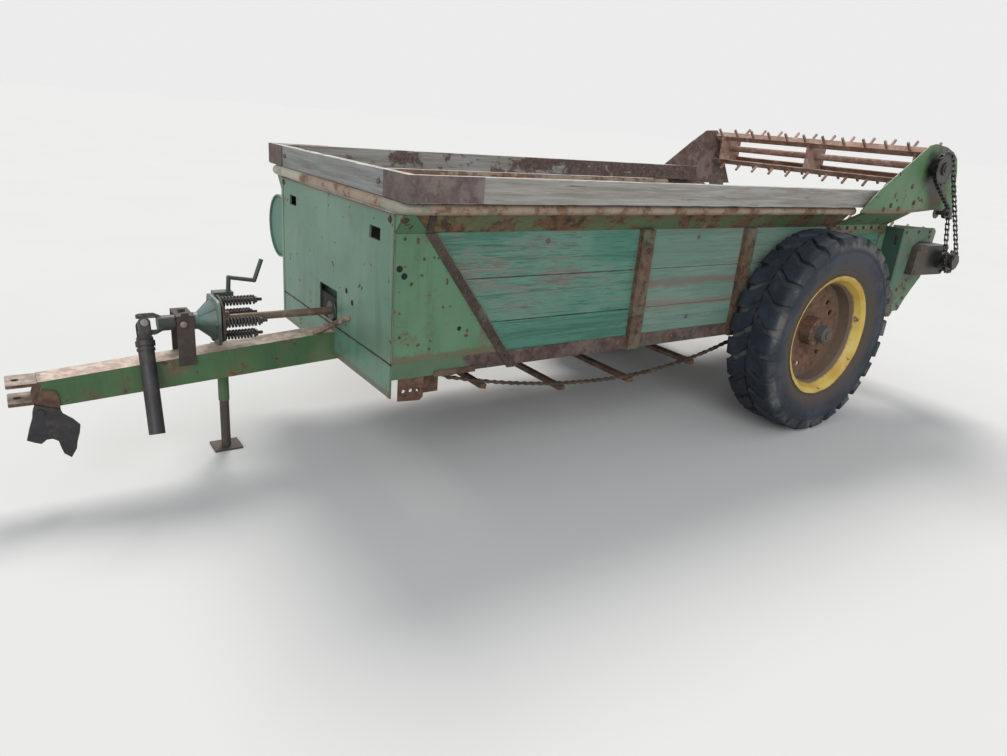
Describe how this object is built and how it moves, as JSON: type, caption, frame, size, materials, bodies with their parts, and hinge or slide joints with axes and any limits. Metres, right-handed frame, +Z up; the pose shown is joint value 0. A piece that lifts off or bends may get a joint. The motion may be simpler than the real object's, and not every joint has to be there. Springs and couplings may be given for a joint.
{
  "type": "manure spreader",
  "caption": "Two-wheeled trailed manure spreader: sloped-front wooden box with a chain-and-slat floor, tined beaters at the rear, and a tongue with drive line, hitch plates and jack.",
  "frame": {"origin": "on the ground below the middle of the whole machine's box, level, standing on its two tyres and its jack", "axes": "+X forward along the tongue to the hitch, +Y to the machine's left, +Z up"},
  "size_m": [5.1232, 1.872, 1.5722],
  "materials": {
    "sheet_green": "faded satin paint with rust at the edges",
    "faded_green": "worn matt paint",
    "rusted_green": "paint half gone to rust",
    "painted_wood": "flaking paint over grey grain",
    "grey_wood": "bare and weathered",
    "floor_wood": "bare and worn",
    "rusty_iron": "rusted with traces of paint",
    "rusty_red": "bright rust",
    "tan_pipe": "rust stained, rubbed bright",
    "worn_steel": "worn and lightly rusted",
    "greasy_iron": "greasy",
    "black_iron": "matt, oily",
    "tyre_rubber": "dusty",
    "yellow_paint": "chipped"
  },
  "bodies": {
    "frame": {"tongue": "faded_green", "hitch_clevis": "rusty_iron", "rest_strap": "rusty_iron", "shaft_rest": "black_iron", "tongue_brace": "rusty_iron", "cross_members": "rusty_iron", "sills": "rusty_iron", "axle": "rusty_iron", "floor": "floor_wood", "boards_left": "painted_wood", "boards_right": "painted_wood", "stakes": "rusty_iron", "flares": "rusted_green", "top_pipe": "tan_pipe", "front_panel": "sheet_green", "gussets": "sheet_green", "front_wall": "sheet_green", "diagonal_straps": "rusty_iron", "extension_left": "grey_wood", "extension_right": "grey_wood", "extension_front": "grey_wood", "corner_plates": "rusty_iron", "end_plate_left": "sheet_green", "end_plate_right": "rusty_red", "legs": "faded_green", "rear_sheets": "faded_green", "gearbox": "greasy_iron", "beater_chain": "greasy_iron", "chain_idler": "greasy_iron", "apron_chains": "worn_steel", "apron_slats": "rusty_iron", "apron_rear_shaft": "worn_steel", "apron_front_shaft": "worn_steel", "apron_bearings": "rusty_iron", "shaft_stand": "rusty_iron", "clutch": "faded_green", "drive_case": "sheet_green", "side_drive": "faded_green", "jack_tube": "faded_green"},
    "wheel_left": {"tyre_left": "tyre_rubber", "rim_left": "yellow_paint"},
    "wheel_right": {"tyre_right": "tyre_rubber", "rim_right": "yellow_paint"},
    "upper_reel": {"upper_beater": "rusty_red"},
    "main_reel": {"main_beater": "rusty_red"},
    "drive_line": {"drive_shaft": "worn_steel"},
    "drive_tube": {"pto_tube": "black_iron"},
    "jack_foot": {"jack_leg": "worn_steel"}
  },
  "joints": [
    {"name": "wheel_left_spin", "type": "hinge", "parent": "frame", "child": "wheel_left", "pos_m": [-1.10044, 0.798, 0.54], "axis": [0, 1, 0], "continuous": true},
    {"name": "wheel_right_spin", "type": "hinge", "parent": "frame", "child": "wheel_right", "pos_m": [-1.10044, -0.798, 0.54], "axis": [0, 1, 0], "continuous": true},
    {"name": "upper_beater_spin", "type": "hinge", "parent": "frame", "child": "upper_reel", "pos_m": [-1.99844, 0, 1.428], "axis": [0, 1, 0], "continuous": true},
    {"name": "main_beater_spin", "type": "hinge", "parent": "frame", "child": "main_reel", "pos_m": [-2.39044, 0, 0.882], "axis": [0, 1, 0], "continuous": true},
    {"name": "drive_shaft_spin", "type": "hinge", "parent": "frame", "child": "drive_line", "pos_m": [1.49956, 0.028, 0.64], "axis": [1, 0, 0], "continuous": true},
    {"name": "drive_tube_swing", "type": "hinge", "parent": "frame", "child": "drive_tube", "pos_m": [2.09956, 0.028, 0.64], "axis": [0, -0.9048, -0.4258], "range_deg": [0, 86]},
    {"name": "jack_slide", "type": "slide", "parent": "frame", "child": "jack_foot", "axis": [0, 0, 1], "range_m": [0, 0.2]}
  ],
  "couplings": [
    {"joint": "main_beater_spin", "follows": "upper_beater_spin", "ratio": 1.3333},
    {"joint": "drive_shaft_spin", "follows": "upper_beater_spin", "ratio": 1.5}
  ]
}
